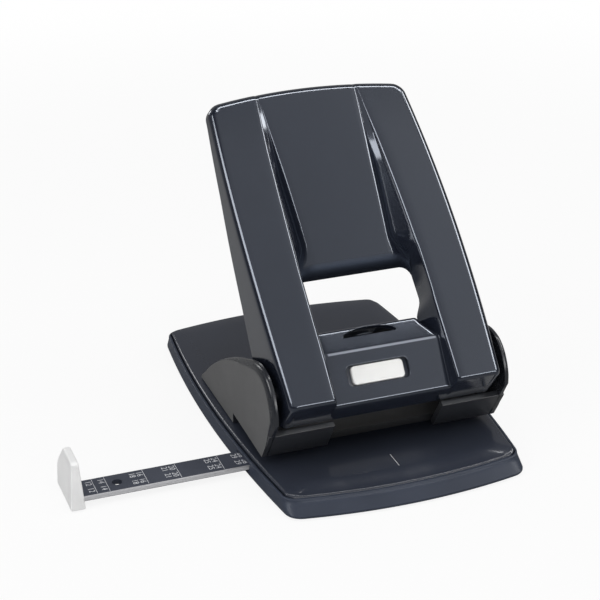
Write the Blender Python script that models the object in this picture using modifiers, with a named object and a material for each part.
"""A heavy duty two-hole paper punch, modelled as the pieces it comes apart into.

Metres, +Z up. The origin lies on the table at the middle of the base. Paper goes in from the front, at -Y,
and the handle's free end is pressed back and down. Run it in Blender's text editor, or with
blender --background --python part.py.
"""

import math

import bmesh
import bpy
from mathutils import Matrix, Vector

# Clearances and cutting
GAP = 0.0003
OVERRUN = 0.0030
WELD = 0.00001

# Base outline, seen from above: corner to corner sizes, and how far each edge bows out
BASE_LENGTH = 0.1862
BASE_FRONT_HALF = 0.0580
BASE_BACK_HALF = 0.0600
BASE_SIDE_BULGE = 0.0062
BASE_FRONT_BULGE = 0.0063
BASE_BACK_BULGE = 0.0067
BASE_CORNER = 0.0060
EDGE_STEPS = 8
SIDE_STEPS = 12
CORNER_STEPS = 3

# Rubber feet
FOOT_PROUD = 0.0008
FOOT_SUNK = 0.0008
FOOT_RADIUS = 0.0042
FOOT_INSET = 0.0085
FOOT_PLACE_SHARES = (0.08, 0.93)

# Moulded frame round the base
FRAME_TOP = 0.0075
FRAME_SILL = 0.0014
FRAME_SIDE_DRAFT = 0.0010
FRAME_FRONT_SLOPE = 0.0065
FRAME_RIM = 0.0012
FRAME_LEDGE = 0.0030
FLANGE_THICKNESS = 0.0016
FLANGE_REACH = 0.0140

# Plate that the paper lies on
PLATE_TOP = 0.0095
PLATE_THICKNESS = 0.0020
PLATE_SKIRT = 0.0048
PLATE_SKIRT_WALL = 0.0016
PLATE_ROUND = 0.0018
PLATE_ROUND_SHARE = 0.3
PLATE_FRONT_DROP = 0.0015
PLATE_FRONT_RUN = 0.0120
PLATE_GROOVE = 0.0006
MARK_WIDTH = 0.0006
MARK_LENGTH = 0.0110
MARK_DEPTH = 0.0004
MARK_FROM_EDGE = 0.0120

# Punching: 80 mm between hole centres, 12 mm from the paper's edge, 5.5 mm holes
HOLE_SPACING = 0.0800
HOLE_MARGIN = 0.0120
PIN_RADIUS = 0.00275
THROAT = 0.0060
DIE_RADIUS = 0.0055
DIE_COLLAR = 0.0072
DIE_COLLAR_HEIGHT = 0.0014
PIN_HEAD_RADIUS = 0.0042
PIN_HEAD = 0.0014
PIN_DOME_SHARES = (0.7, 0.4)
GUIDE_FLANGE_RADIUS = 0.0078
GUIDE_FLANGE = 0.0022
GUIDE_NECK_RADIUS = 0.0058
SEAT_RADIUS = 0.0047
SEAT_THICKNESS = 0.0008
SPRING_RADIUS = 0.0041
SPRING_WIRE = 0.0011
SPRING_TURNS = 5
SPRING_POINTS_PER_TURN = 9
SPRING_REST = 0.0005

# Bridge over the paper slot, folded down behind it as the paper stop
BRIDGE_THICKNESS = 0.0025
BRIDGE_FRONT_GAP = 0.0005
BRIDGE_FOOT = 0.0115
LIP_SIDE_GAP = 0.0004
LIP_REACH = 0.0042
LIP_RISE = 0.0009

# Side brackets: a rounded cheek with a front flange that leans back
CHEEK_INNER = 0.0556
CHEEK_THICKNESS = 0.0032
CHEEK_TOP = 0.0575
CHEEK_LENGTH = 0.1060
CHEEK_FRONT_REACH = 0.0230
CHEEK_FRONT_LEAN_SHARE = 0.13
CHEEK_TOP_SHARES = (
    (0.0, 0.57), (0.005, 0.68), (0.028, 0.80), (0.065, 0.905), (0.12, 0.98), (0.20, 1.0), (0.29, 0.95),
    (0.41, 0.845), (0.55, 0.71), (0.69, 0.545), (0.83, 0.335), (0.945, 0.125), (0.99, 0.045), (1.0, 0.0),
)
FRONT_FLANGE_WIDTH = 0.0290
FRONT_FLANGE_THICKNESS = 0.0030
FRONT_FLANGE_SHARE = 0.62
BRACKET_FOOT_WIDTH = 0.0120
BRACKET_FOOT_THICKNESS = 0.0025
BRACKET_FOOT_LENGTH = 0.0260
AXLE_SEAT_DEPTH = 0.0018

# Handle, in its own frame: u runs up the face from its lower edge, v points out of the face
TILT = math.radians(41.3)
PIVOT_Y = -0.0493
PIVOT_Z = 0.0400
PIVOT_U = 0.0156
PIVOT_V = -0.0236
HANDLE_LENGTH = 0.1556
HANDLE_ARCH = 0.0045
HANDLE_BOW = 0.0026
HANDLE_FOOT_HALF = 0.0519
HANDLE_MID_HALF = 0.0536
HANDLE_END_HALF = 0.0503
HANDLE_MID_U = 0.0700
COVER_WALL = 0.0024
EDGE_ROUND = 0.0040
FOOT_ROUND = 0.0026
END_DEPTH = 0.0066
FOOT_DEPTH = 0.0204
WALL_FLARE = 0.0011
SIDE_WALL_SHARES = (
    (0.0, 1.0), (0.035, 1.10), (0.065, 1.38), (0.12, 1.47), (0.18, 1.38), (0.27, 1.20), (0.37, 0.98),
    (0.58, 0.69), (0.71, 0.51), (0.94, 0.33), (1.1, 0.32),
)
RAIL_HALF = 0.0298
RAIL_END_HALF = 0.0254
RAIL_STRAIGHT = 0.0600
RAIL_POWER = 1.5
PANEL_HALF = 0.0210
PANEL_END_HALF = 0.0246
PANEL_STRAIGHT = 0.0750
PANEL_POWER = 1.3
PANEL_DEPTH = 0.0093
PANEL_FADE = 1.85
WALL_DRAFT = 0.0004
CROSS_HALF = 0.0265
FRONT_FACE_STEPS = 2
CROSS_FOOT_U = 0.0016
CROSS_FOOT_V = -0.0080
RIDGE_U = 0.0229
RIDGE_V = -0.0034
REAR_U = 0.0353
REAR_V = -0.0060
WINDOW_END_U = 0.0618
WINDOW_HALF = 0.0272
WINDOW_WALL = 0.0140
WINDOW_STEPS = 3
LIP_RUN = 0.0040
LIP_DROP = 0.0045
LIP_STEPS = 3
PANEL_ROWS = 9
ROUND_STEPS = 3

# Oval thumb slot in the crossbar's top
THUMB_CENTRE = -0.0034
THUMB_HALF = 0.0126
THUMB_FROM_RIDGE = 0.0062
THUMB_DEPTH = 0.0046
THUMB_STEPS = 8

# Handle lock: a white slide in a recess of the crossbar, its backing plate and its latch
LOCK_CENTRE = -0.0046
LOCK_UP = 0.0106
LOCK_RECESS = 0.0300
LOCK_RECESS_HEIGHT = 0.0094
LOCK_BUTTON = 0.0254
LOCK_BUTTON_ROUND = 0.0012
LOCK_SUNK = 0.0003
LOCK_PLATE_MARGIN = 0.0022
LOCK_PLATE = 0.0014
LOCK_STEM = 0.0060
LOCK_STEM_HEIGHT = 0.0036
LOCK_TRAVEL = 0.0020
LATCH_LENGTH = 0.0290
LATCH_HEIGHT = 0.0056
LATCH_THICKNESS = 0.0014
LATCH_HOOK = 0.0030

# Steel lever under the cover, and what it turns on and presses with
ARM_INNER = 0.0453
ARM_THICKNESS = 0.0029
EAR_RADIUS = 0.0082
PRESS_REACH = 0.0220
PRESS_RISE = math.radians(16.6)
PRESS_RADIUS = 0.0040
PRESS_END_RADIUS = 0.0027
PRESS_END_PROUD = 0.0012
PRESS_EAR_RADIUS = 0.0058
ARM_TOP = 0.0052
ARM_REACH = 0.1180
ARM_LOW_SHARES = ((1.0, 0.52), (0.78, 0.62), (0.53, 0.93), (0.40, 1.28))
WEB_START = 0.0700
WEB_END = 0.0940
WEB_V = -0.0122
WEB_THICKNESS = 0.0024
TIE_START = 0.0035
TIE_END = 0.0235
TIE_V = -0.0165
TIE_THICKNESS = 0.0020
AXLE_RADIUS = 0.0040
AXLE_END_RADIUS = 0.0030
BUSH_WALL = 0.0010
BUSH_FLANGE_RADIUS = 0.0066
BUSH_FLANGE = 0.0012

# Screws
SCREW_RADIUS = 0.00125
SCREW_HEAD_RADIUS = 0.0026
SCREW_HEAD = 0.0018
SCREW_EDGE_SHARE = 0.6
BRACKET_SCREW_SHARES = (0.2, 0.8)
BRIDGE_SCREW_SHARE = 0.7
COVER_SCREW_BITE = 0.0013
COVER_SCREW_SPOTS = ((0.0480, -0.0120), (0.1050, -0.0078))

# Side guide: bar, stop cap, the track it slides in and its spring brake
BAR_WIDTH = 0.0146
BAR_THICKNESS = 0.0026
BAR_BOTTOM = 0.0030
BAR_Y = -0.0421
BAR_SHOWN = 0.0768
BAR_INSIDE = 0.0400
BAR_CHAMFER = 0.0005
BAR_HOLE_RADIUS = 0.00235
BAR_HOLE_FROM_CAP = 0.0172
CAP_BOTTOM = 0.0009
CAP_HEIGHT = 0.0232
CAP_DEPTH = 0.0284
CAP_FRONT_REACH = 0.0105
CAP_FOOT_THICKNESS = 0.0068
CAP_TOP_THICKNESS = 0.0034
CAP_SOCKET = 0.0038
CAP_SHARES = (
    (0.0, 0.0), (0.95, 0.0), (1.0, 0.35), (0.98, 0.52), (0.66, 0.97), (0.62, 1.0), (0.14, 1.0), (0.08, 0.96),
)
TRACK_WALL = 0.0012
TRACK_LIP = 0.0018
TRACK_LIP_THICKNESS = 0.0009
TRACK_LEFT = -0.0455
TRACK_RIGHT = 0.0360
DETENT_CENTRE = -0.0360
DETENT_LENGTH = 0.0140
DETENT_WIDTH = 0.0060
DETENT_THICKNESS = 0.0004
DETENT_STEPS = 8

# Chip cover under the base, hinged at the back
CHIP_THICKNESS = 0.0012
CHIP_RAISED = 0.0002
CHIP_RIB = 0.0016
CHIP_HINGE_Z = 0.0044
CHIP_HINGE_BACK = 0.0029
CHIP_LUG_X = 0.0200
CHIP_LUG_WIDTH = 0.0040
CHIP_LUG_RADIUS = 0.0020
CHIP_PIN_RADIUS = 0.0009
CHIP_BLOCK_WIDTH = 0.0060
CHIP_BLOCK_DEPTH = 0.0080
CHIP_TAB = 0.0140
CHIP_TAB_HEIGHT = 0.0030

# Places that follow from the sizes above
PLATE_UNDER = PLATE_TOP - PLATE_THICKNESS
SKIRT_Z = PLATE_TOP - PLATE_SKIRT
BRIDGE_UNDER = PLATE_TOP + THROAT
BRIDGE_TOP = BRIDGE_UNDER + BRIDGE_THICKNESS
GUIDE_TOP = BRIDGE_TOP + GAP + GUIDE_FLANGE
PRESS_Y = PIVOT_Y + PRESS_REACH * math.cos(PRESS_RISE)
PRESS_Z = PIVOT_Z + PRESS_REACH * math.sin(PRESS_RISE)
PIN_Y = PRESS_Y
PIN_X = HOLE_SPACING / 2
PIN_TOP = PRESS_Z - PRESS_RADIUS - GAP
STOP_Y = PIN_Y + HOLE_MARGIN
BAR_TOP = BAR_BOTTOM + BAR_THICKNESS
CHEEK_OUTER = CHEEK_INNER + CHEEK_THICKNESS
CHEEK_FRONT = PIVOT_Y - CHEEK_FRONT_REACH
CHEEK_FOOT = PLATE_TOP + GAP
SIDE_INSET = FRAME_SIDE_DRAFT + FRAME_RIM
FRONT_INSET = FRAME_FRONT_SLOPE + FRAME_RIM


def clear_scene():
    for thing in list(bpy.data.objects):
        bpy.data.objects.remove(thing, do_unlink=True)


def new_collection(name):
    found = bpy.data.collections.new(name)
    bpy.context.scene.collection.children.link(found)
    return found


def new_material(name, colour, roughness, metallic=0.0):
    made = bpy.data.materials.new(name)
    made.use_nodes = True
    shader = made.node_tree.nodes["Principled BSDF"]
    shader.inputs["Base Color"].default_value = (*colour, 1.0)
    shader.inputs["Roughness"].default_value = roughness
    shader.inputs["Metallic"].default_value = metallic
    return made


def new_empty(name, place):
    empty = bpy.data.objects.new(name, None)
    PARTS.objects.link(empty)
    empty.location = place
    return empty


clear_scene()
PARTS = new_collection("hole_punch")
CUTTERS = new_collection("cutters")

DARK_GLOSS = new_material("dark gloss paint", (0.055, 0.062, 0.080), 0.24)
DARK_MATT = new_material("dark moulding", (0.070, 0.074, 0.082), 0.45)
BRACKET_PAINT = new_material("bracket paint", (0.075, 0.075, 0.078), 0.42)
STEEL = new_material("bright steel", (0.62, 0.62, 0.63), 0.25, 1.0)
DULL_STEEL = new_material("dull steel", (0.36, 0.36, 0.37), 0.45, 1.0)
WHITE = new_material("white moulding", (0.86, 0.86, 0.84), 0.38)
BAR_BLACK = new_material("printed bar", (0.090, 0.095, 0.110), 0.35, 0.6)
RUBBER = new_material("rubber", (0.020, 0.020, 0.022), 0.80)
NYLON = new_material("nylon", (0.60, 0.59, 0.54), 0.50)

HANDLE_PIVOT = new_empty("handle_pivot", (0.0, PIVOT_Y, PIVOT_Z))
LOCK_SLIDE = new_empty("lock_slide", (0.0, PIVOT_Y, PIVOT_Z))
GUIDE_SLIDE = new_empty("guide_slide", (0.0, BAR_Y, BAR_BOTTOM))


def finish(thing, material, parent=None, smooth=True, helper=False):
    """Puts an object whose mesh is in world space in its collection, under its joint's empty."""
    (CUTTERS if helper else PARTS).objects.link(thing)
    if helper:
        thing.hide_render = True
        thing.display_type = "WIRE"
        return thing
    thing.data.materials.clear()
    thing.data.materials.append(material)
    if smooth:
        thing.data.shade_smooth()
        thing.data.set_sharp_from_angle(angle=math.radians(35))
    if parent is not None:
        bpy.context.view_layer.update()
        thing.parent = parent
        thing.matrix_parent_inverse = parent.matrix_world.inverted()
    return thing


def from_bmesh(name, bm):
    bmesh.ops.remove_doubles(bm, verts=bm.verts, dist=WELD)
    bmesh.ops.recalc_face_normals(bm, faces=bm.faces)
    mesh = bpy.data.meshes.new(name)
    bm.to_mesh(mesh)
    bm.free()
    return bpy.data.objects.new(name, mesh)


def block(name, low, high, matrix=None):
    """A box between two corners, placed by a matrix."""
    bm = bmesh.new()
    made = bmesh.ops.create_cube(bm, size=1.0)
    for vert in made["verts"]:
        vert.co = [high[i] if vert.co[i] > 0 else low[i] for i in range(3)]
    if matrix is not None:
        bmesh.ops.transform(bm, matrix=matrix, verts=bm.verts)
    return from_bmesh(name, bm)


def rod(name, radius, start, end, segments=16, matrix=None):
    """A round bar from one point to another."""
    start, end = Vector(start), Vector(end)
    along = end - start
    turn = Vector((0.0, 0.0, 1.0)).rotation_difference(along).to_matrix().to_4x4()
    bm = bmesh.new()
    bmesh.ops.create_cone(
        bm, cap_ends=True, segments=segments, radius1=radius, radius2=radius, depth=along.length
    )
    bmesh.ops.transform(bm, matrix=Matrix.Translation((start + end) / 2) @ turn, verts=bm.verts)
    if matrix is not None:
        bmesh.ops.transform(bm, matrix=matrix, verts=bm.verts)
    return from_bmesh(name, bm)


def mesh_of_curve(name, curve, matrix):
    """The curve's evaluated mesh with its caps welded and the matrix applied."""
    guide = bpy.data.objects.new(name + "_curve", curve)
    CUTTERS.objects.link(guide)
    bpy.context.view_layer.update()
    graph = bpy.context.evaluated_depsgraph_get()
    mesh = bpy.data.meshes.new_from_object(guide.evaluated_get(graph))
    bpy.data.objects.remove(guide, do_unlink=True)
    bm = bmesh.new()
    bm.from_mesh(mesh)
    bmesh.ops.transform(bm, matrix=matrix, verts=bm.verts)
    bpy.data.meshes.remove(mesh)
    return from_bmesh(name, bm)


def slab(name, outline, matrix, thickness):
    """A flat outline as a filled curve, centred on its plane and as thick as asked."""
    curve = bpy.data.curves.new(name, "CURVE")
    curve.dimensions = "2D"
    curve.fill_mode = "BOTH"
    curve.extrude = thickness / 2
    spline = curve.splines.new("POLY")
    spline.points.add(len(outline) - 1)
    for point, (a, b) in zip(spline.points, outline):
        point.co = (a, b, 0.0, 1.0)
    spline.use_cyclic_u = True
    return mesh_of_curve(name, curve, matrix)


def side_plane(x):
    """Takes an outline's (a, b) to world (y, z) on the plane of that x."""
    return Matrix(((0.0, 0.0, 1.0, x), (1.0, 0.0, 0.0, 0.0), (0.0, 1.0, 0.0, 0.0), (0.0, 0.0, 0.0, 1.0)))


def side_slab(name, outline, x_low, x_high):
    return slab(name, outline, side_plane((x_low + x_high) / 2), x_high - x_low)


def turned(name, profile, place, steps=20, matrix=None):
    """A closed (radius, height) profile turned round the vertical through place, outer side downwards."""
    mesh = bpy.data.meshes.new(name)
    points = [(radius, 0.0, height) for radius, height in profile]
    on_axis = min(radius for radius, _ in profile) == 0.0
    count = len(points)
    edges = [(i, i + 1) for i in range(count - 1)]
    if not on_axis:
        edges.append((count - 1, 0))
    mesh.from_pydata(points, edges, [])
    thing = bpy.data.objects.new(name, mesh)
    thing.matrix_world = Matrix.Translation(place) if matrix is None else matrix
    screw = thing.modifiers.new("turn", "SCREW")
    screw.steps = steps
    screw.render_steps = steps
    screw.use_merge_vertices = True
    screw.merge_threshold = WELD
    screw.use_smooth_shade = True
    return thing


def cut(thing, cutter, operation="DIFFERENCE"):
    boolean = thing.modifiers.new(cutter.name, "BOOLEAN")
    boolean.operation = operation
    boolean.solver = "EXACT"
    boolean.object = cutter
    return thing


def join(thing, other):
    return cut(thing, other, "UNION")


def helper(thing):
    return finish(thing, None, helper=True)


def lerp(a, b, share):
    return a + (b - a) * share


# Base outline


def base_half(share):
    """Half width at a share of the way from the front corners to the back ones: a taper plus a bow."""
    return lerp(BASE_FRONT_HALF, BASE_BACK_HALF, share) + 4 * BASE_SIDE_BULGE * share * (1 - share)


def front_y(x, inset):
    return -BASE_LENGTH / 2 + inset - BASE_FRONT_BULGE * (1 - (x / BASE_FRONT_HALF) ** 2)


def back_y(x, inset):
    return BASE_LENGTH / 2 - inset + BASE_BACK_BULGE * (1 - (x / BASE_BACK_HALF) ** 2)


def side_x(y, inset):
    return base_half((y + BASE_LENGTH / 2) / BASE_LENGTH) - inset


def base_outline(side, front, back):
    """(x, y, front weight) round the base, each edge drawn in by its inset, from the front's middle."""
    corners = []
    for edge_y, inset, share, weight in ((front_y, front, 0.0, 1.0), (back_y, back, 1.0, 0.0)):
        x = base_half(share) - side
        corners.append((x, edge_y(x, inset), weight))
    (front_x, front_corner, _), (back_x, back_corner, _) = corners
    half = []
    for i in range(EDGE_STEPS // 2 + 1):
        x = (front_x - BASE_CORNER) * 2 * i / EDGE_STEPS
        half.append((x, front_y(x, front), 1.0))
    half += corner_points(half[-1], (front_x, front_corner, 0.5), front_corner + BASE_CORNER, side, 0.0)
    low, high = front_corner + BASE_CORNER, back_corner - BASE_CORNER
    for i in range(SIDE_STEPS + 1):
        y = lerp(low, high, i / SIDE_STEPS)
        half.append((side_x(y, side), y, 0.0))
    end = (back_x - BASE_CORNER, back_y(back_x - BASE_CORNER, back), 0.0)
    last = half[-1]
    for i in range(1, CORNER_STEPS + 1):
        half.append(curve_point(last, (back_x, back_corner, 0.0), end, i / (CORNER_STEPS + 1)))
    for i in range(EDGE_STEPS // 2 + 1):
        x = end[0] * (1 - 2 * i / EDGE_STEPS)
        half.append((x, back_y(x, back), 0.0))
    mirrored = [(-x, y, weight) for x, y, weight in reversed(half[1:-1])]
    return half + mirrored


def curve_point(start, corner, end, share):
    """A point on the curve that leaves start towards the corner and arrives at end from it."""
    a, b, c = (1 - share) ** 2, 2 * share * (1 - share), share ** 2
    return tuple(a * p + b * q + c * r for p, q, r in zip(start, corner, end))


def corner_points(start, corner, end_y, side, weight):
    end = (side_x(end_y, side), end_y, weight)
    return [curve_point(start, corner, end, i / (CORNER_STEPS + 1)) for i in range(1, CORNER_STEPS + 1)]


def ring_loft(name, rings, closed):
    """Faces between rings that have the same number of points; open ends are capped."""
    bm = bmesh.new()
    rows = [[bm.verts.new(point) for point in ring] for ring in rings]
    pairs = list(zip(rows, rows[1:]))
    if closed:
        pairs.append((rows[-1], rows[0]))
    for low, high in pairs:
        for i in range(len(low)):
            j = (i + 1) % len(low)
            bm.faces.new((low[i], low[j], high[j], high[i]))
    if not closed:
        bm.faces.new(rows[0])
        bm.faces.new(rows[-1])
    return from_bmesh(name, bm)


def flat_ring(side, front, back, z):
    return [(x, y, z) for x, y, _ in base_outline(side, front, back)]


# Base pieces


def foot_places():
    for name, share in zip(("front", "back"), FOOT_PLACE_SHARES):
        y = lerp(-BASE_LENGTH / 2, BASE_LENGTH / 2, share)
        for side, sign in (("left", -1), ("right", 1)):
            yield f"foot_{name}_{side}", sign * (side_x(y, FOOT_INSET)), y


def guide_slot(name):
    """The way in for the side guide's bar, through the frame's and the plate's left sides."""
    low = (-BASE_FRONT_HALF - BASE_SIDE_BULGE - OVERRUN, BAR_Y - BAR_WIDTH / 2 - GAP, BAR_BOTTOM - GAP)
    high = (low[0] + FLANGE_REACH + OVERRUN, BAR_Y + BAR_WIDTH / 2 + GAP, BAR_TOP + GAP)
    return helper(block(name, low, high))


def build_frame():
    """The moulded rim: a sloped front, drafted sides, a ledge for the plate and a flange underneath."""
    inner_side, inner_front = SIDE_INSET, FRONT_INSET
    ledge_side, ledge_front = inner_side + FRAME_LEDGE, inner_front + FRAME_LEDGE
    reach = FLANGE_REACH
    bottom, sill = FOOT_PROUD, FOOT_PROUD + FRAME_SILL
    ledge_z, flange_z = SKIRT_Z - GAP, FOOT_PROUD + FLANGE_THICKNESS
    rings = [
        flat_ring(0.0, 0.0, 0.0, bottom),
        flat_ring(0.0, 0.0, 0.0, sill),
        flat_ring(FRAME_SIDE_DRAFT, FRAME_FRONT_SLOPE, FRAME_SIDE_DRAFT, FRAME_TOP),
        flat_ring(inner_side, inner_front, inner_side, FRAME_TOP),
        flat_ring(inner_side, inner_front, inner_side, ledge_z),
        flat_ring(ledge_side, ledge_front, ledge_side, ledge_z),
        flat_ring(ledge_side, ledge_front, ledge_side, flange_z),
        flat_ring(reach, reach, reach, flange_z),
        flat_ring(reach, reach, reach, bottom),
    ]
    frame = ring_loft("base_frame", rings, closed=True)
    cut(frame, guide_slot("frame_guide_slot"))
    for name, x, y in foot_places():
        pocket = rod(
            name + "_pocket", FOOT_RADIUS + GAP, (x, y, -OVERRUN), (x, y, FOOT_PROUD + FOOT_SUNK + GAP)
        )
        cut(frame, helper(pocket))
    finish(frame, DARK_MATT)


def build_feet():
    height = FOOT_PROUD + FOOT_SUNK
    for name, x, y in foot_places():
        foot = rod(name, FOOT_RADIUS, (x, y, 0.0), (x, y, height))
        finish(foot, RUBBER)


def plate_ring(extra, z, drop):
    """One ring of the plate, drawn in by extra, whose front runs lower by the drop."""
    side, front = SIDE_INSET + PLATE_GROOVE + extra, FRONT_INSET + PLATE_GROOVE + extra
    points = base_outline(side, front, side)
    return [(x, y, z - drop * weight) for x, y, weight in points]


def build_plate():
    """The paper's table: a pressed plate with a rounded edge, a low front and a skirt turned down inside."""
    drop = PLATE_FRONT_DROP
    wall = PLATE_SKIRT_WALL
    edge = PLATE_ROUND * PLATE_ROUND_SHARE
    rings = [
        plate_ring(PLATE_FRONT_RUN, PLATE_UNDER, 0.0),
        plate_ring(wall + PLATE_ROUND, PLATE_UNDER, drop),
        plate_ring(wall, PLATE_UNDER - GAP, drop),
        plate_ring(wall, SKIRT_Z, 0.0),
        plate_ring(0.0, SKIRT_Z, 0.0),
        plate_ring(0.0, PLATE_TOP - PLATE_ROUND, drop / 2),
        plate_ring(edge, PLATE_TOP - edge, drop),
        plate_ring(PLATE_ROUND, PLATE_TOP, drop),
        plate_ring(PLATE_FRONT_RUN, PLATE_TOP, 0.0),
    ]
    plate = ring_loft("base_plate", rings, closed=False)
    cut(plate, guide_slot("plate_guide_slot"))
    for name, sign in SIDES:
        ends = up(sign * PIN_X, PIN_Y, SKIRT_Z, PLATE_TOP)
        hole = rod("die_hole_" + name, DIE_RADIUS + GAP, *ends, segments=20)
        cut(plate, helper(hole))
    for name, x, y in screw_places():
        ends = up(x, y, SKIRT_Z, PLATE_TOP)
        hole = rod(name + "_hole", SCREW_RADIUS + GAP, *ends, segments=12)
        cut(plate, helper(hole))
    mark_y = front_y(0.0, FRONT_INSET) + MARK_FROM_EDGE
    mark = block(
        "centre_mark",
        (-MARK_WIDTH / 2, mark_y, PLATE_TOP - MARK_DEPTH),
        (MARK_WIDTH / 2, mark_y + MARK_LENGTH, PLATE_TOP + OVERRUN),
    )
    cut(plate, helper(mark))
    finish(plate, DARK_GLOSS)


SIDES = (("left", -1), ("right", 1))


def up(x, y, low, high):
    """The two ends of an upright cutter that passes both heights."""
    return (x, y, low - OVERRUN), (x, y, high + OVERRUN)


def screw_places():
    """The screws that come up through the plate: two in each bracket's foot and two in the bridge's foot."""
    foot_x = CHEEK_INNER - BRACKET_FOOT_WIDTH / 2
    places = zip(("front", "back"), BRACKET_SCREW_SHARES)
    foot_y = {place: bracket_foot_start() + BRACKET_FOOT_LENGTH * share for place, share in places}
    bridge_y = STOP_Y + (BRIDGE_THICKNESS + BRIDGE_FOOT) / 2
    for side, sign in SIDES:
        for place, y in foot_y.items():
            yield f"bracket_screw_{place}_{side}", sign * foot_x, y
        yield f"bridge_screw_{side}", sign * PIN_X * BRIDGE_SCREW_SHARE, bridge_y


def bracket_foot_start():
    return STOP_Y + BRIDGE_FOOT + GAP


def build_base_screws():
    top = CHEEK_FOOT + BRACKET_FOOT_THICKNESS - GAP
    head_top = PLATE_UNDER - GAP
    for name, x, y in screw_places():
        profile = (
            (0.0, top), (SCREW_RADIUS, top), (SCREW_RADIUS, head_top), (SCREW_HEAD_RADIUS, head_top),
            (SCREW_HEAD_RADIUS, head_top - SCREW_HEAD * SCREW_EDGE_SHARE),
            (SCREW_HEAD_RADIUS * SCREW_EDGE_SHARE, head_top - SCREW_HEAD),
            (0.0, head_top - SCREW_HEAD),
        )
        finish(turned(name, profile, (x, y, 0.0), 12), STEEL, smooth=False)


def build_dies():
    bore = PIN_RADIUS + GAP / 2
    collar_top = PLATE_UNDER - GAP
    collar_low = collar_top - DIE_COLLAR_HEIGHT
    profile = (
        (DIE_RADIUS, PLATE_TOP), (DIE_RADIUS, collar_top), (DIE_COLLAR, collar_top),
        (DIE_COLLAR, collar_low), (bore, collar_low), (bore, PLATE_TOP),
    )
    for name, sign in SIDES:
        finish(turned("die_" + name, profile, (sign * PIN_X, PIN_Y, 0.0)), STEEL, smooth=False)


# Brackets, bridge and punching train


def cheek_outline():
    """(y, z) round a cheek: the paper's way out sideways, the leaning front and the rounded back."""
    height = CHEEK_TOP - CHEEK_FOOT
    low, high = flange_line()
    points = [(STOP_Y, CHEEK_FOOT), (STOP_Y, BRIDGE_UNDER), low, high]
    for along, rise in CHEEK_TOP_SHARES:
        points.append((CHEEK_FRONT + CHEEK_LENGTH * along, CHEEK_FOOT + height * rise))
    return points


def flange_line():
    """The (y, z) ends of the front flange's outer face, on the cheek's leaning front edge."""
    low = (CHEEK_FRONT + CHEEK_LENGTH * CHEEK_FRONT_LEAN_SHARE, BRIDGE_UNDER)
    along, rise = CHEEK_TOP_SHARES[0]
    nose = (CHEEK_FRONT + CHEEK_LENGTH * along, CHEEK_FOOT + (CHEEK_TOP - CHEEK_FOOT) * rise)
    return low, tuple(lerp(a, b, FRONT_FLANGE_SHARE) for a, b in zip(low, nose))


def flange_outline():
    """The front flange's (y, z) corners: its outer face from low to high, then its inner face back down."""
    low, high = flange_line()
    along = Vector((high[0] - low[0], high[1] - low[1])).normalized()
    inward = Vector((along[1], -along[0])) * FRONT_FLANGE_THICKNESS
    return [low, high, (high[0] + inward[0], high[1] + inward[1]), (low[0] + inward[0], low[1] + inward[1])]


def build_brackets():
    flange = flange_outline()
    start = bracket_foot_start()
    for name, sign in SIDES:
        faces = ordered(sign * CHEEK_INNER, sign * CHEEK_OUTER)
        cheek = side_slab("bracket_" + name, cheek_outline(), *faces)
        ends = ordered(sign * flange_end(), sign * (CHEEK_OUTER - GAP))
        front = side_slab("flange_" + name, flange, *ends)
        join(cheek, helper(front))
        foot_low, foot_high = ordered(sign * (CHEEK_INNER - BRACKET_FOOT_WIDTH), sign * (CHEEK_OUTER - GAP))
        foot_top = CHEEK_FOOT + BRACKET_FOOT_THICKNESS
        foot = block(
            "bracket_foot_" + name,
            (foot_low, start, CHEEK_FOOT),
            (foot_high, start + BRACKET_FOOT_LENGTH, foot_top),
        )
        join(cheek, helper(foot))
        inner = sign * (CHEEK_INNER - OVERRUN)
        seat_end = sign * (CHEEK_INNER + AXLE_SEAT_DEPTH + GAP)
        seat = rod(
            "axle_seat_" + name,
            AXLE_END_RADIUS + GAP / 2,
            (inner, PIVOT_Y, PIVOT_Z),
            (seat_end, PIVOT_Y, PIVOT_Z),
            segments=20,
        )
        cut(cheek, helper(seat))
        for screw, x, y in screw_places():
            if screw.startswith("bracket") and x * sign > 0:
                ends = up(x, y, CHEEK_FOOT, CHEEK_FOOT)
                hole = rod(screw + "_thread", SCREW_RADIUS + GAP / 2, *ends, segments=12)
                cut(cheek, helper(hole))
        finish(cheek, BRACKET_PAINT)


def ordered(a, b):
    return (a, b) if a < b else (b, a)


def flange_end():
    """How far from the middle the front flanges end."""
    return CHEEK_INNER - FRONT_FLANGE_WIDTH


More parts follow.
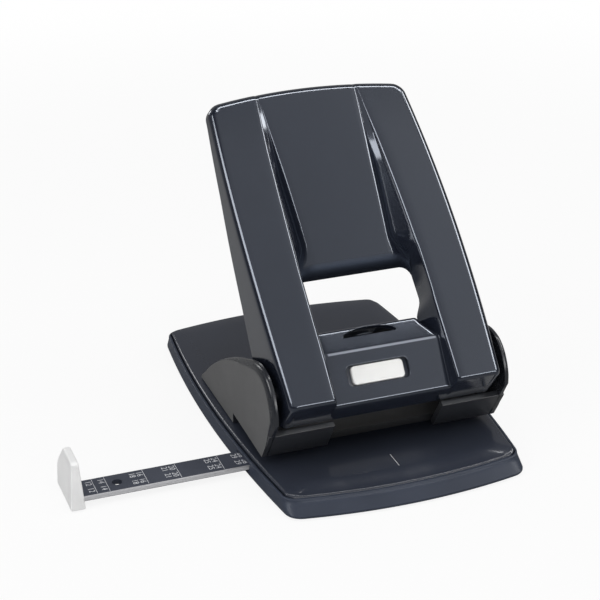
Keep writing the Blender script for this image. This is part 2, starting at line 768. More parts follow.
def build_bridge():
    """The folded plate that holds the punch guides; its back fold is the paper stop."""
    front = flange_outline()[-1][0] + BRIDGE_FRONT_GAP
    foot_z = CHEEK_FOOT
    back = STOP_Y + BRIDGE_THICKNESS
    foot_end = STOP_Y + BRIDGE_FOOT
    outline = [
        (front, BRIDGE_UNDER), (STOP_Y, BRIDGE_UNDER), (STOP_Y, foot_z), (foot_end, foot_z),
        (foot_end, foot_z + BRIDGE_THICKNESS), (back, foot_z + BRIDGE_THICKNESS), (back, BRIDGE_TOP),
        (front, BRIDGE_TOP),
    ]
    half = CHEEK_INNER - GAP
    bridge = side_slab("punch_bridge", outline, -half, half)
    lip_front = front - LIP_REACH
    rise = LIP_RISE
    lip = [
        (front + OVERRUN, BRIDGE_UNDER + GAP), (lip_front, BRIDGE_UNDER + rise),
        (lip_front, BRIDGE_TOP + rise), (front + OVERRUN, BRIDGE_TOP - GAP),
    ]
    lip_half = flange_end() - LIP_SIDE_GAP
    join(bridge, helper(side_slab("bridge_lip", lip, -lip_half, lip_half)))
    for name, sign in SIDES:
        hole = rod(
            "guide_hole_" + name,
            GUIDE_NECK_RADIUS + GAP,
            *up(sign * PIN_X, PIN_Y, BRIDGE_UNDER, BRIDGE_TOP),
            segments=20,
        )
        cut(bridge, helper(hole))
    for screw, x, y in screw_places():
        if screw.startswith("bridge"):
            ends = up(x, y, foot_z, foot_z)
            hole = rod(screw + "_thread", SCREW_RADIUS + GAP / 2, *ends, segments=12)
            cut(bridge, helper(hole))
    finish(bridge, BRACKET_PAINT)


def build_punch_train(name, sign):
    """One side's guide bush, pin, spring seat and return spring, all round the same upright axis."""
    place = (sign * PIN_X, PIN_Y, 0.0)
    bore = PIN_RADIUS + GAP
    guide_low = BRIDGE_UNDER + GAP
    guide = (
        (GUIDE_FLANGE_RADIUS, GUIDE_TOP), (GUIDE_FLANGE_RADIUS, BRIDGE_TOP + GAP),
        (GUIDE_NECK_RADIUS, BRIDGE_TOP + GAP), (GUIDE_NECK_RADIUS, guide_low), (bore, guide_low),
        (bore, GUIDE_TOP),
    )
    finish(turned("punch_guide_" + name, guide, place), DULL_STEEL, smooth=False)
    slide = new_empty("pin_slide_" + name, place)
    head_low = PIN_TOP - PIN_HEAD
    pin_low = guide_low + GAP
    across_share, down_share = PIN_DOME_SHARES
    pin = (
        (0.0, PIN_TOP), (PIN_HEAD_RADIUS * across_share, PIN_TOP),
        (PIN_HEAD_RADIUS, PIN_TOP - PIN_HEAD * down_share),
        (PIN_HEAD_RADIUS, head_low), (PIN_RADIUS, head_low), (PIN_RADIUS, pin_low), (0.0, pin_low),
    )
    finish(turned("punch_pin_" + name, pin, place), STEEL, slide, smooth=False)
    seat_top = head_low - GAP
    seat_low = seat_top - SEAT_THICKNESS
    seat = ((SEAT_RADIUS, seat_top), (SEAT_RADIUS, seat_low), (bore, seat_low), (bore, seat_top))
    finish(turned("spring_seat_" + name, seat, place), DULL_STEEL, slide, smooth=False)
    low = GUIDE_TOP + GAP + SPRING_WIRE / 2
    high = seat_low - GAP - SPRING_WIRE / 2
    finish(coil("return_spring_" + name, place, low, high), STEEL)


def coil(name, place, low, high):
    """A wire helix between two heights, with a closed turn at each end."""
    curve = bpy.data.curves.new(name, "CURVE")
    curve.dimensions = "3D"
    curve.bevel_depth = SPRING_WIRE / 2
    curve.bevel_resolution = 1
    curve.use_fill_caps = True
    count = SPRING_TURNS * SPRING_POINTS_PER_TURN
    spline = curve.splines.new("POLY")
    spline.points.add(count)
    rest = SPRING_WIRE + SPRING_REST
    rise = (high - low - 2 * rest) / (SPRING_TURNS - 2)
    path = []
    for i in range(count + 1):
        turn = i / SPRING_POINTS_PER_TURN
        angle = 2 * math.pi * turn
        middle = min(max(turn - 1, 0.0), SPRING_TURNS - 2)
        ends = rest * (min(turn, 1.0) + max(turn - (SPRING_TURNS - 1), 0.0))
        height = low + ends + rise * middle
        path.append(Vector((SPRING_RADIUS * math.cos(angle), SPRING_RADIUS * math.sin(angle), height)))
    for point, co in zip(spline.points, path):
        point.co = (*co, 1.0)
    apart = [
        (a - b).length
        for i, a in enumerate(path)
        for j, b in enumerate(path)
        if abs(i - j) > SPRING_POINTS_PER_TURN // 2
    ]
    print(f"{name}: least gap between turns {1000 * (min(apart) - SPRING_WIRE):.2f} mm")
    return mesh_of_curve(name, curve, Matrix.Translation(place))


def build_axle():
    """The pivot: a shaft whose reduced ends sit in blind seats in the two cheeks."""
    inner = CHEEK_INNER - GAP
    end = CHEEK_INNER + AXLE_SEAT_DEPTH
    profile = (
        (0.0, end), (AXLE_END_RADIUS, end), (AXLE_END_RADIUS, inner), (AXLE_RADIUS, inner),
        (AXLE_RADIUS, -inner), (AXLE_END_RADIUS, -inner), (AXLE_END_RADIUS, -end), (0.0, -end),
    )
    matrix = Matrix.Translation((0.0, PIVOT_Y, PIVOT_Z)) @ Matrix.Rotation(math.pi / 2, 4, "Y")
    finish(turned("pivot_axle", profile, None, 20, matrix), STEEL, smooth=False)


# Handle frame: x across, u up the face, v out of it


def on_handle(x, u, v):
    """World place of a point given across the handle, up its face and out of it."""
    along, out = u - PIVOT_U, v - PIVOT_V
    y = PIVOT_Y + along * math.cos(TILT) - out * math.sin(TILT)
    z = PIVOT_Z + along * math.sin(TILT) + out * math.cos(TILT)
    return x, y, z


def on_handle_side(u, v):
    return on_handle(0.0, u, v)[1:]


def handle_place(y, z):
    """The (u, v) of a world (y, z)."""
    dy, dz = y - PIVOT_Y, z - PIVOT_Z
    u = PIVOT_U + dy * math.cos(TILT) + dz * math.sin(TILT)
    v = PIVOT_V - dy * math.sin(TILT) + dz * math.cos(TILT)
    return u, v


def bow(u):
    return HANDLE_BOW * (1 - ((u - HANDLE_LENGTH / 2) / (HANDLE_LENGTH / 2)) ** 2)


def handle_half(u):
    """Half width of the face: widest at HANDLE_MID_U, narrower towards the foot and the free end."""
    if u < HANDLE_MID_U:
        share = (HANDLE_MID_U - u) / HANDLE_MID_U
        return lerp(HANDLE_MID_HALF, HANDLE_FOOT_HALF, share ** 2)
    share = (u - HANDLE_MID_U) / (HANDLE_LENGTH - HANDLE_MID_U)
    return lerp(HANDLE_MID_HALF, HANDLE_END_HALF, share ** 2)


def grown(u, start, power):
    """0 up to start, then a power of the share of the way from there to the free end."""
    return max((u - start) / (HANDLE_LENGTH + HANDLE_ARCH - start), 0.0) ** power


def rail_half(u):
    return lerp(RAIL_HALF, RAIL_END_HALF, grown(u, RAIL_STRAIGHT, RAIL_POWER))


def panel_half(u):
    return lerp(PANEL_HALF, PANEL_END_HALF, grown(u, PANEL_STRAIGHT, PANEL_POWER))


def panel_v(u):
    """Height of the sunk grip panel: deepest at the window, level with the rails at the free end."""
    start = WINDOW_END_U + LIP_RUN
    share = max((u - start) / (HANDLE_LENGTH + HANDLE_ARCH - start), 0.0)
    return bow(u) - PANEL_DEPTH * max(1 - share, 0.0) ** PANEL_FADE


def cover_rows():
    """Rows of the face, foot to free end: (u on the rails, u, v, half width of the floor, open or not)."""
    rows = []
    for i in range(FRONT_FACE_STEPS + 1):
        share = i / FRONT_FACE_STEPS
        u = lerp(CROSS_FOOT_U, RIDGE_U, share)
        rows.append((u, u, lerp(CROSS_FOOT_V, RIDGE_V, share), CROSS_HALF, False))
    rows.append((REAR_U, REAR_U, REAR_V, CROSS_HALF, False))
    rows.append((REAR_U + WALL_DRAFT, REAR_U + WALL_DRAFT, -WINDOW_WALL, CROSS_HALF, False))
    for i in range(1, WINDOW_STEPS):
        u = lerp(REAR_U, WINDOW_END_U, i / WINDOW_STEPS)
        rows.append((u, u, -WINDOW_WALL, WINDOW_HALF, True))
    rows.append((WINDOW_END_U, WINDOW_END_U, -WINDOW_WALL, WINDOW_HALF, False))
    top = panel_v(WINDOW_END_U + LIP_RUN)
    for i in range(LIP_STEPS + 1):
        angle = math.pi / 2 * i / LIP_STEPS
        share = (i + 1) / (LIP_STEPS + 2)
        u = WINDOW_END_U + WALL_DRAFT + (LIP_RUN - WALL_DRAFT) * (1 - math.cos(angle))
        v = top - LIP_DROP * (1 - math.sin(angle))
        rows.append((WINDOW_END_U + LIP_RUN * share, u, v, lerp(WINDOW_HALF, PANEL_HALF, share), False))
    start, last = WINDOW_END_U + LIP_RUN, HANDLE_LENGTH - EDGE_ROUND
    for i in range(1, PANEL_ROWS + 1):
        u = lerp(start, last, i / PANEL_ROWS)
        rows.append((u, u, panel_v(u), panel_half(u), False))
    return rows


def cover_columns(row):
    """Half a row of the face from the middle out, as (x, u, v), bent up to the arch of the free end."""
    rail_u, floor_u, floor_v, floor_half, _ = row
    top = bow(rail_u)
    rail = rail_half(rail_u)
    outer = handle_half(rail_u) - EDGE_ROUND
    points = [
        (0.0, floor_u, floor_v), (floor_half / 2, floor_u, floor_v), (floor_half, floor_u, floor_v),
        (rail, rail_u, top), ((rail + outer) / 2, rail_u, top), (outer, rail_u, top),
    ]
    arched = []
    for x, u, v in points:
        share = max(u - start_of_arch(), 0.0) / (HANDLE_LENGTH - EDGE_ROUND - start_of_arch())
        arched.append((x, u + arch(x) * share ** 2, v))
    return arched


def start_of_arch():
    return WINDOW_END_U + LIP_RUN


def arch(x):
    return HANDLE_ARCH * (1 - (x / HANDLE_END_HALF) ** 2)


def side_wall_v(u):
    """Height of the side walls' lower edge at u, read along its list of shares."""
    share = min(max(u / HANDLE_LENGTH, 0.0), SIDE_WALL_SHARES[-1][0])
    for (a, depth_a), (b, depth_b) in zip(SIDE_WALL_SHARES, SIDE_WALL_SHARES[1:]):
        if share <= b:
            return -FOOT_DEPTH * lerp(depth_a, depth_b, (share - a) / (b - a))
    return -FOOT_DEPTH * SIDE_WALL_SHARES[-1][1]


def cover_skin(bm):
    """The cover's outer surface as one open sheet: a face with a window, rounded edges and walls."""
    rows = cover_rows()
    grid = []
    for row in rows:
        half = cover_columns(row)
        mirrored = [(-x, u, v) for x, u, v in reversed(half[1:])]
        grid.append([bm.verts.new(point) for point in mirrored + half])
    middle = len(grid[0]) // 2
    inside = 2
    open_rows = [i for i, row in enumerate(rows) if row[-1]]
    first, last = open_rows[0] - 1, open_rows[-1]
    for i in range(len(grid) - 1):
        for j in range(len(grid[0]) - 1):
            in_window = middle - inside <= j < middle + inside
            if first <= i <= last and in_window:
                continue
            bm.faces.new((grid[i][j], grid[i][j + 1], grid[i + 1][j + 1], grid[i + 1][j]))
    for i in open_rows:
        for vert in grid[i][middle - inside + 1:middle + inside]:
            bm.verts.remove(vert)
    edge_rings(bm, grid)


def edge_entries(grid):
    """(vertex, outward angle, round) along the face's edge, anticlockwise; corners turn through steps."""
    entries = []
    width, height = len(grid[0]), len(grid)
    corner_steps = 3

    def corner(vert, start, round_a, round_b):
        for i in range(1, corner_steps):
            share = i / corner_steps
            entries.append((vert, start + math.pi / 2 * share, lerp(round_a, round_b, share)))

    for j in range(width):
        entries.append((grid[0][j], -math.pi / 2, FOOT_ROUND))
    corner(grid[0][-1], -math.pi / 2, FOOT_ROUND, EDGE_ROUND)
    for i in range(height):
        entries.append((grid[i][-1], 0.0, EDGE_ROUND))
    corner(grid[-1][-1], 0.0, EDGE_ROUND, EDGE_ROUND)
    for j in reversed(range(width)):
        entries.append((grid[-1][j], math.pi / 2, EDGE_ROUND))
    corner(grid[-1][0], math.pi / 2, EDGE_ROUND, EDGE_ROUND)
    for i in reversed(range(height)):
        entries.append((grid[i][0], math.pi, EDGE_ROUND))
    corner(grid[0][0], math.pi, EDGE_ROUND, FOOT_ROUND)
    return entries


def wall_foot(x, u, angle):
    """Lower edge of the wall under an edge point: the foot, the free end or a side."""
    up_share = max(math.sin(angle), 0.0) ** 2
    down_share = max(-math.sin(angle), 0.0) ** 2
    side_share = 1 - up_share - down_share
    v = -END_DEPTH * up_share - FOOT_DEPTH * down_share + side_wall_v(u) * side_share
    return v, WALL_FLARE * min(-v / FOOT_DEPTH, 1.0)


def edge_rings(bm, grid):
    """Rolls the face over its rounded edge and down into the walls."""
    entries = edge_entries(grid)
    previous = [vert for vert, _, _ in entries]
    for step in range(1, ROUND_STEPS + 2):
        ring = []
        for vert, angle, radius in entries:
            x, u, v = vert.co
            turn = math.pi / 2 * min(step, ROUND_STEPS) / ROUND_STEPS
            out = radius * math.sin(turn)
            low = v - radius * (1 - math.cos(turn))
            if step > ROUND_STEPS:
                low, flare = wall_foot(x, u, angle)
                out += flare
            ring.append(bm.verts.new((x + out * math.cos(angle), u + out * math.sin(angle), low)))
        for i in range(len(ring)):
            k = (i + 1) % len(ring)
            corners = [previous[i], previous[k], ring[k], ring[i]]
            unique = [vert for n, vert in enumerate(corners) if vert not in corners[:n]]
            if len(unique) > 2:
                bm.faces.new(unique)
        previous = ring


def crossbar_matrix(u, v, along_u, along_v):
    """Axes on a face of the crossbar: x across, y up that face, z out of it."""
    start = Vector(on_handle(0.0, u, v))
    end = Vector(on_handle(0.0, along_u, along_v))
    across = Vector((1.0, 0.0, 0.0))
    rise = (end - start).normalized()
    out = across.cross(rise)
    matrix = Matrix((across, rise, out)).transposed().to_4x4()
    return Matrix.Translation(start) @ matrix


def front_matrix():
    return crossbar_matrix(CROSS_FOOT_U, CROSS_FOOT_V, RIDGE_U, RIDGE_V)


def top_matrix():
    return crossbar_matrix(RIDGE_U, RIDGE_V, REAR_U, REAR_V)


def thumb_outline():
    """A straight front edge and an arched back."""
    points = [(THUMB_CENTRE - THUMB_HALF, THUMB_FROM_RIDGE), (THUMB_CENTRE + THUMB_HALF, THUMB_FROM_RIDGE)]
    for i in range(1, THUMB_STEPS):
        angle = math.pi * i / THUMB_STEPS
        x = THUMB_CENTRE + THUMB_HALF * math.cos(angle)
        points.append((x, THUMB_FROM_RIDGE + THUMB_DEPTH * math.sin(angle)))
    return points


def cover_screw_ends(u, v, sign):
    """Head, seat and tip of a screw that goes out through the lever's arm into the cover."""
    seat = ARM_INNER - GAP
    tip = handle_half(u) - COVER_WALL + COVER_SCREW_BITE
    return [on_handle(sign * x, u, v) for x in (seat - SCREW_HEAD, seat, tip)]


def cover_screws():
    for place, (u, v) in zip(("low", "high"), COVER_SCREW_SPOTS):
        for side, sign in SIDES:
            yield f"cover_screw_{place}_{side}", u, v, sign


def build_cover():
    bm = bmesh.new()
    cover_skin(bm)
    for vert in bm.verts:
        vert.co = on_handle(*vert.co)
    cover = from_bmesh("handle_cover", bm)
    inside = Vector(on_handle(0.0, HANDLE_LENGTH / 2, -FOOT_DEPTH))
    outward = sum(face.area * face.normal.dot(face.center - inside) for face in cover.data.polygons)
    if outward < 0:
        cover.data.flip_normals()
    shell = cover.modifiers.new("wall", "SOLIDIFY")
    shell.thickness = COVER_WALL
    shell.offset = -1.0
    shell.use_even_offset = True
    shell.use_quality_normals = True
    deep = COVER_WALL + OVERRUN
    thumb = slab("thumb_slot", thumb_outline(), top_matrix(), 2 * deep)
    cut(cover, helper(thumb))
    low = (LOCK_CENTRE - LOCK_RECESS / 2, LOCK_UP - LOCK_RECESS_HEIGHT / 2, -deep)
    high = (LOCK_CENTRE + LOCK_RECESS / 2, LOCK_UP + LOCK_RECESS_HEIGHT / 2, OVERRUN)
    cut(cover, helper(block("lock_recess", low, high, front_matrix())))
    reach = HANDLE_MID_HALF + OVERRUN
    hole = rod("axle_passage", AXLE_RADIUS + GAP, *across(PIVOT_U, PIVOT_V, -reach, reach), segments=20)
    cut(cover, helper(hole))
    for name, u, v, sign in cover_screws():
        _, seat, tip = cover_screw_ends(u, v, sign)
        tip = (tip[0] + sign * GAP, tip[1], tip[2])
        cut(cover, helper(rod(name + "_hole", SCREW_RADIUS + GAP / 2, seat, tip, segments=12)))
    finish(cover, DARK_GLOSS, HANDLE_PIVOT)


def across(u, v, x_low, x_high):
    return on_handle(x_low, u, v), on_handle(x_high, u, v)


def build_cover_screws():
    for name, u, v, sign in cover_screws():
        head, seat, tip = cover_screw_ends(u, v, sign)
        screw = rod(name, SCREW_HEAD_RADIUS, head, seat, segments=12)
        inside = ((head[0] + seat[0]) / 2, head[1], head[2])
        join(screw, helper(rod(name + "_shank", SCREW_RADIUS, inside, tip, segments=12)))
        finish(screw, STEEL, HANDLE_PIVOT, smooth=False)


def press_place():
    return handle_place(PRESS_Y, PRESS_Z)


def arc_points(centre, radius, start, end, steps):
    """Points on a circle between two angles in degrees."""
    points = []
    for i in range(steps + 1):
        angle = math.radians(lerp(start, end, i / steps))
        points.append((centre[0] + radius * math.cos(angle), centre[1] + radius * math.sin(angle)))
    return points


def arm_outline():
    """(u, v) round one arm: the pivot's ear, the press bar's ear and the long reach under the rail."""
    press = press_place()
    points = arc_points((PIVOT_U, PIVOT_V), EAR_RADIUS, 150, 285, 6)
    points += arc_points(press, PRESS_EAR_RADIUS, 240, 380, 6)
    for along, depth in reversed(ARM_LOW_SHARES):
        points.append((ARM_REACH * along, -FOOT_DEPTH * depth + COVER_WALL / 2))
    points.append((ARM_REACH, -ARM_TOP))
    points.append((PIVOT_U - EAR_RADIUS, -ARM_TOP))
    return points


def build_lever():
    """Two steel arms, tied under the crossbar and under the grip panel."""
    outline = [on_handle_side(u, v) for u, v in arm_outline()]
    arm_outer = ARM_INNER + ARM_THICKNESS
    lever = side_slab("lever_frame", outline, -arm_outer, -ARM_INNER)
    join(lever, helper(side_slab("lever_arm_right", outline, ARM_INNER, arm_outer)))
    half = ARM_INNER + ARM_THICKNESS / 2
    for name, start, end, v, thickness in (
        ("lever_web", WEB_START, WEB_END, WEB_V, WEB_THICKNESS),
        ("lever_tie", TIE_START, TIE_END, TIE_V, TIE_THICKNESS),
    ):
        corners = [(start, v), (end, v), (end, v + thickness), (start, v + thickness)]
        sheet = side_slab(name, [on_handle_side(a, b) for a, b in corners], -half, half)
        join(lever, helper(sheet))
    reach = arm_outer + OVERRUN
    bush = AXLE_RADIUS + GAP + BUSH_WALL + GAP
    cut(lever, helper(rod("bush_hole", bush, *across(PIVOT_U, PIVOT_V, -reach, reach), segments=20)))
    press_u, press_v = press_place()
    seat = PRESS_END_RADIUS + GAP
    cut(lever, helper(rod("press_hole", seat, *across(press_u, press_v, -reach, reach), segments=20)))
    for name, u, v, sign in cover_screws():
        hole = across(u, v, sign * (ARM_INNER - OVERRUN), sign * (arm_outer + OVERRUN))
        cut(lever, helper(rod(name + "_clearance", SCREW_RADIUS + GAP, *hole, segments=12)))
    finish(lever, DULL_STEEL, HANDLE_PIVOT, smooth=False)


def build_press_bar():
    """The round bar that pushes both pins down; its thinner ends sit in the arms."""
    inner = ARM_INNER - GAP
    end = ARM_INNER + ARM_THICKNESS + PRESS_END_PROUD
    profile = (
        (0.0, end), (PRESS_END_RADIUS, end), (PRESS_END_RADIUS, inner), (PRESS_RADIUS, inner),
        (PRESS_RADIUS, -inner), (PRESS_END_RADIUS, -inner), (PRESS_END_RADIUS, -end), (0.0, -end),
    )
    matrix = Matrix.Translation((0.0, PRESS_Y, PRESS_Z)) @ Matrix.Rotation(math.pi / 2, 4, "Y")
    finish(turned("press_bar", profile, None, 24, matrix), STEEL, HANDLE_PIVOT, smooth=False)


def build_bushes():
    """Flanged nylon bushes between the arms and the axle."""
    bore = AXLE_RADIUS + GAP
    outer = bore + BUSH_WALL
    far = ARM_INNER + ARM_THICKNESS
    near = ARM_INNER - GAP
    profile = (
        (outer, far), (outer, near), (BUSH_FLANGE_RADIUS, near), (BUSH_FLANGE_RADIUS, near - BUSH_FLANGE),
        (bore, near - BUSH_FLANGE), (bore, far),
    )
    for name, sign in SIDES:
        turn = Matrix.Rotation(sign * math.pi / 2, 4, "Y")
        matrix = Matrix.Translation((0.0, PIVOT_Y, PIVOT_Z)) @ turn
        finish(turned("pivot_bush_" + name, profile, None, 20, matrix), NYLON, HANDLE_PIVOT, smooth=False)


def rounded_corners(width, height, radius, steps=3):
    """A rectangle about the origin with rounded corners."""
    points = []
    for i, (sx, sy) in enumerate(((1, 1), (-1, 1), (-1, -1), (1, -1))):
        centre = (sx * (width / 2 - radius), sy * (height / 2 - radius))
        points += arc_points(centre, radius, 90 * i, 90 * (i + 1), steps)
    return points


def build_lock():
    """The backing plate in the recess, the white slide on it and the latch behind it."""
    frame = front_matrix()
    plate_top = -COVER_WALL - GAP
    plate_low = plate_top - LOCK_PLATE
    half = LOCK_RECESS / 2 + LOCK_PLATE_MARGIN
    tall = LOCK_RECESS_HEIGHT / 2 + LOCK_PLATE_MARGIN
    plate = block(
        "lock_plate",
        (LOCK_CENTRE - half, LOCK_UP - tall, plate_low),
        (LOCK_CENTRE + half, LOCK_UP + tall, plate_top),
        frame,
    )
    slot_half = LOCK_STEM / 2 + LOCK_TRAVEL + GAP
    slot_tall = LOCK_STEM_HEIGHT / 2 + GAP
    slot = block(
        "lock_slot",
        (LOCK_CENTRE - slot_half, LOCK_UP - slot_tall, plate_low - OVERRUN),
        (LOCK_CENTRE + slot_half, LOCK_UP + slot_tall, plate_top + OVERRUN),
        frame,
    )
    cut(plate, helper(slot))
    finish(plate, DARK_MATT, HANDLE_PIVOT, smooth=False)
    bpy.context.view_layer.update()
    LOCK_SLIDE.parent = HANDLE_PIVOT
    LOCK_SLIDE.matrix_parent_inverse = HANDLE_PIVOT.matrix_world.inverted()
    button_low = plate_top + GAP
    button_top = -LOCK_SUNK
    button_height = LOCK_RECESS_HEIGHT - 2 * GAP
    outline = rounded_corners(LOCK_BUTTON, button_height, LOCK_BUTTON_ROUND)
    middle = Matrix.Translation((LOCK_CENTRE, LOCK_UP, (button_low + button_top) / 2))
    button = slab("lock_button", outline, frame @ middle, button_top - button_low)
    latch_top = plate_low - GAP
    stem_low = latch_top - LATCH_THICKNESS - GAP
    stem = block(
        "lock_stem",
        (LOCK_CENTRE - LOCK_STEM / 2, LOCK_UP - LOCK_STEM_HEIGHT / 2, stem_low),
        (LOCK_CENTRE + LOCK_STEM / 2, LOCK_UP + LOCK_STEM_HEIGHT / 2, (button_low + button_top) / 2),
        frame,
    )
    join(button, helper(stem))
    finish(button, WHITE, LOCK_SLIDE)
    build_latch(frame, latch_top)


def build_latch(frame, latch_top):
    """A steel strip on the slide's stem whose hooked left end catches when the handle is held down."""
    left, right = LOCK_CENTRE - LATCH_LENGTH / 2, LOCK_CENTRE + LATCH_LENGTH / 2
    low, hook_low = latch_top - LATCH_THICKNESS, latch_top - LATCH_HOOK
    bend = left + LATCH_THICKNESS
    outline = [
        (left, latch_top), (left, hook_low), (bend, hook_low), (bend, low), (right, low), (right, latch_top),
    ]
    upright = Matrix.Translation((0.0, LOCK_UP, 0.0)) @ Matrix.Rotation(math.pi / 2, 4, "X")
    latch = slab("lock_latch", outline, frame @ upright, LATCH_HEIGHT)
    half, tall = LOCK_STEM / 2 + GAP, LOCK_STEM_HEIGHT / 2 + GAP
    hole = block(
        "latch_hole",
        (LOCK_CENTRE - half, LOCK_UP - tall, hook_low - OVERRUN),
        (LOCK_CENTRE + half, LOCK_UP + tall, latch_top + OVERRUN),
        frame,
    )
    cut(latch, helper(hole))
    finish(latch, DULL_STEEL, LOCK_SLIDE, smooth=False)


# Side guide


def guide_wall_x():
    """Where the frame's left side stands at the bar."""
    return -side_x(BAR_Y, 0.0)


def build_guide():
    shown_end = guide_wall_x() - BAR_SHOWN
    outer_end = shown_end - CAP_SOCKET + GAP
    inner_end = guide_wall_x() + BAR_INSIDE
    near, far = BAR_Y - BAR_WIDTH / 2, BAR_Y + BAR_WIDTH / 2
    bar = block("guide_bar", (outer_end, near, BAR_BOTTOM), (inner_end, far, BAR_TOP))
    hole_x = shown_end + BAR_HOLE_FROM_CAP
    cut(bar, helper(rod("bar_hole", BAR_HOLE_RADIUS, *up(hole_x, BAR_Y, BAR_BOTTOM, BAR_TOP), segments=16)))
    soft = bar.modifiers.new("edges", "BEVEL")
    soft.width = BAR_CHAMFER
    soft.segments = 1
    soft.limit_method = "ANGLE"
    soft.angle_limit = math.radians(60)
    finish(bar, BAR_BLACK, GUIDE_SLIDE, smooth=False)
    build_cap(shown_end)


def build_cap(inner_x):
    """The white stop: thick at the foot, thinner at the top, with a socket for the bar."""
    front = BAR_Y - CAP_FRONT_REACH
    outline = [(front + CAP_DEPTH * a, CAP_BOTTOM + CAP_HEIGHT * b) for a, b in CAP_SHARES]
    outer_x = inner_x - CAP_FOOT_THICKNESS
    cap = side_slab("guide_cap", outline, outer_x, inner_x)
    lean = (CAP_FOOT_THICKNESS - CAP_TOP_THICKNESS) / 2
    middle = (outer_x + inner_x) / 2
    for vert in cap.data.vertices:
        share = (vert.co.z - CAP_BOTTOM) / CAP_HEIGHT
        vert.co.x -= math.copysign(lean * share, vert.co.x - middle)
    low = (inner_x - CAP_SOCKET, BAR_Y - BAR_WIDTH / 2 - GAP, BAR_BOTTOM - GAP)
    high = (inner_x + OVERRUN, BAR_Y + BAR_WIDTH / 2 + GAP, BAR_TOP + GAP)
    cut(cap, helper(block("cap_socket", low, high)))
    finish(cap, WHITE, GUIDE_SLIDE)


def build_track():
    """A channel under the plate that the bar slides in, with lips below it and a window for the brake."""
    inner = BAR_WIDTH / 2 + GAP
    outer = inner + TRACK_WALL
    top = PLATE_UNDER - GAP
    roof = BAR_TOP + GAP
    floor = BAR_BOTTOM - GAP
    low = floor - TRACK_LIP_THICKNESS
    lip = inner - TRACK_LIP
    half = [(outer, top), (outer, low), (lip, low), (lip, floor), (inner, floor), (inner, roof)]
    outline = [(BAR_Y + a, b) for a, b in half] + [(BAR_Y - a, b) for a, b in reversed(half)]
    track = side_slab("guide_track", outline, TRACK_LEFT, TRACK_RIGHT)
    window = block(
        "detent_window",
        (DETENT_CENTRE - DETENT_LENGTH / 2 - GAP, BAR_Y - DETENT_WIDTH / 2 - GAP, roof - GAP),
        (DETENT_CENTRE + DETENT_LENGTH / 2 + GAP, BAR_Y + DETENT_WIDTH / 2 + GAP, top + OVERRUN),
    )
    cut(track, helper(window))
    for name, sign in SIDES:
        collar = DIE_COLLAR + GAP
        low_end, high_end = up(sign * PIN_X, PIN_Y, top, top)
        low_end = (low_end[0], low_end[1], top - DIE_COLLAR_HEIGHT - GAP)
        cut(track, helper(rod("die_notch_" + name, collar, low_end, high_end, segments=20)))
    finish(track, DARK_MATT, smooth=False)
    build_detent(roof, top)


def build_detent(low, high):
    """A bowed leaf of spring steel whose middle brakes the bar."""
    upper, lower = [], []
    for i in range(DETENT_STEPS + 1):
        share = i / DETENT_STEPS
        x = lerp(-DETENT_LENGTH / 2, DETENT_LENGTH / 2, share)
        z = low + (high - low - DETENT_THICKNESS) * (2 * share - 1) ** 2
        lower.append((x, z))
        upper.append((x, z + DETENT_THICKNESS))
    outline = lower + upper[::-1]
    turn = Matrix.Translation((DETENT_CENTRE, BAR_Y, 0.0)) @ Matrix.Rotation(math.pi / 2, 4, "X")
    finish(slab("guide_detent", outline, turn, DETENT_WIDTH), DULL_STEEL, smooth=False)


# Chip cover


def hinge_y():
    return back_y(CHIP_LUG_X, FLANGE_REACH) - CHIP_HINGE_BACK


def chip_front():
    return BAR_Y + BAR_WIDTH / 2 + GAP + TRACK_WALL + GAP


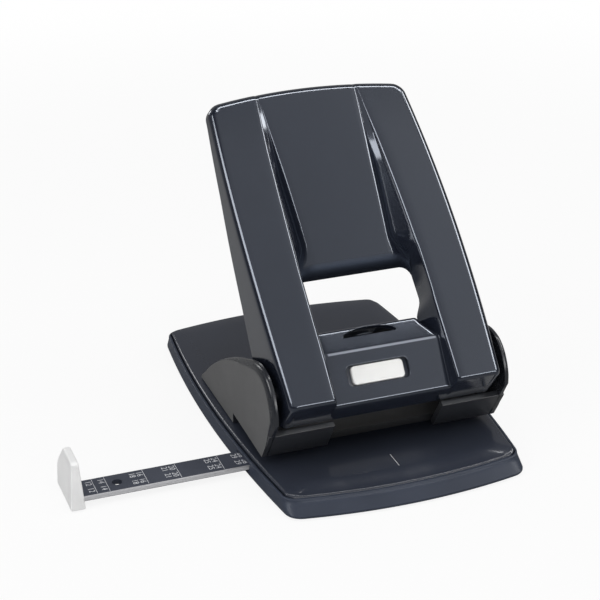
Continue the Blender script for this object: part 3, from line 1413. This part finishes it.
def build_chip_cover():
    """The lid that lets the chips out: a thin plate inside the frame's flange, with lugs on its pins."""
    inset = FLANGE_REACH + 2 * GAP
    back_inset = inset + CHIP_HINGE_BACK + CHIP_LUG_RADIUS
    low = FOOT_PROUD + CHIP_RAISED
    outline = [(x, y) for x, y, _ in base_outline(inset, inset, back_inset) if y > chip_front() + OVERRUN]
    right = [point for point in outline if point[0] > 0]
    left = [point for point in outline if point[0] <= 0]
    corner = side_x(chip_front(), inset)
    outline = [(corner, chip_front())] + right + left + [(-corner, chip_front())]
    middle = Matrix.Translation((0.0, 0.0, low + CHIP_THICKNESS / 2))
    cover = slab("chip_cover", outline, middle, CHIP_THICKNESS)
    empty = new_empty("chip_cover_hinge", (0.0, hinge_y(), CHIP_HINGE_Z))
    tab = block(
        "chip_tab",
        (-CHIP_TAB / 2, chip_front(), low + CHIP_THICKNESS / 2),
        (CHIP_TAB / 2, chip_front() + CHIP_RIB, low + CHIP_TAB_HEIGHT),
    )
    join(cover, helper(tab))
    foot_y = hinge_y() - CHIP_HINGE_BACK - 2 * CHIP_LUG_RADIUS
    for name, sign in SIDES:
        outline = [(foot_y, low + GAP), (hinge_y() - CHIP_LUG_RADIUS, low + GAP)]
        outline += arc_points((hinge_y(), CHIP_HINGE_Z), CHIP_LUG_RADIUS, -135, 135, 8)
        outline.append((foot_y, low + CHIP_THICKNESS + GAP))
        x_low, x_high = ordered(sign * CHIP_LUG_X, sign * (CHIP_LUG_X + CHIP_LUG_WIDTH))
        join(cover, helper(side_slab("chip_lug_" + name, outline, x_low, x_high)))
        hole = rod(
            "chip_lug_hole_" + name,
            CHIP_PIN_RADIUS + GAP,
            (x_low - OVERRUN, hinge_y(), CHIP_HINGE_Z),
            (x_high + OVERRUN, hinge_y(), CHIP_HINGE_Z),
        )
        cut(cover, helper(hole))
    finish(cover, DARK_MATT, empty, smooth=False)


def build_chip_hinges():
    """Blocks on the frame's back flange, each with the pin that one lug turns on."""
    low = FOOT_PROUD + FLANGE_THICKNESS + GAP
    for name, sign in SIDES:
        inner = CHIP_LUG_X + CHIP_LUG_WIDTH + GAP
        x_low, x_high = ordered(sign * inner, sign * (inner + CHIP_BLOCK_WIDTH))
        front = hinge_y() - CHIP_LUG_RADIUS
        hinge = block(
            "chip_hinge_" + name,
            (x_low, front, low),
            (x_high, front + CHIP_BLOCK_DEPTH, CHIP_HINGE_Z + CHIP_LUG_RADIUS),
        )
        start = (sign * CHIP_LUG_X, hinge_y(), CHIP_HINGE_Z)
        end = (sign * (inner + CHIP_BLOCK_WIDTH / 2), hinge_y(), CHIP_HINGE_Z)
        join(hinge, helper(rod("chip_pin_" + name, CHIP_PIN_RADIUS, start, end, segments=12)))
        finish(hinge, DARK_MATT, smooth=False)


build_frame()
build_feet()
build_plate()
build_base_screws()
build_dies()
build_brackets()
build_bridge()
for side_name, side_sign in SIDES:
    build_punch_train(side_name, side_sign)
build_axle()
build_cover()
build_cover_screws()
build_lever()
build_press_bar()
build_bushes()
build_lock()
build_guide()
build_track()
build_chip_cover()
build_chip_hinges()
bpy.context.view_layer.update()
print(f"{sum(thing.type == 'MESH' for thing in PARTS.objects)} pieces")
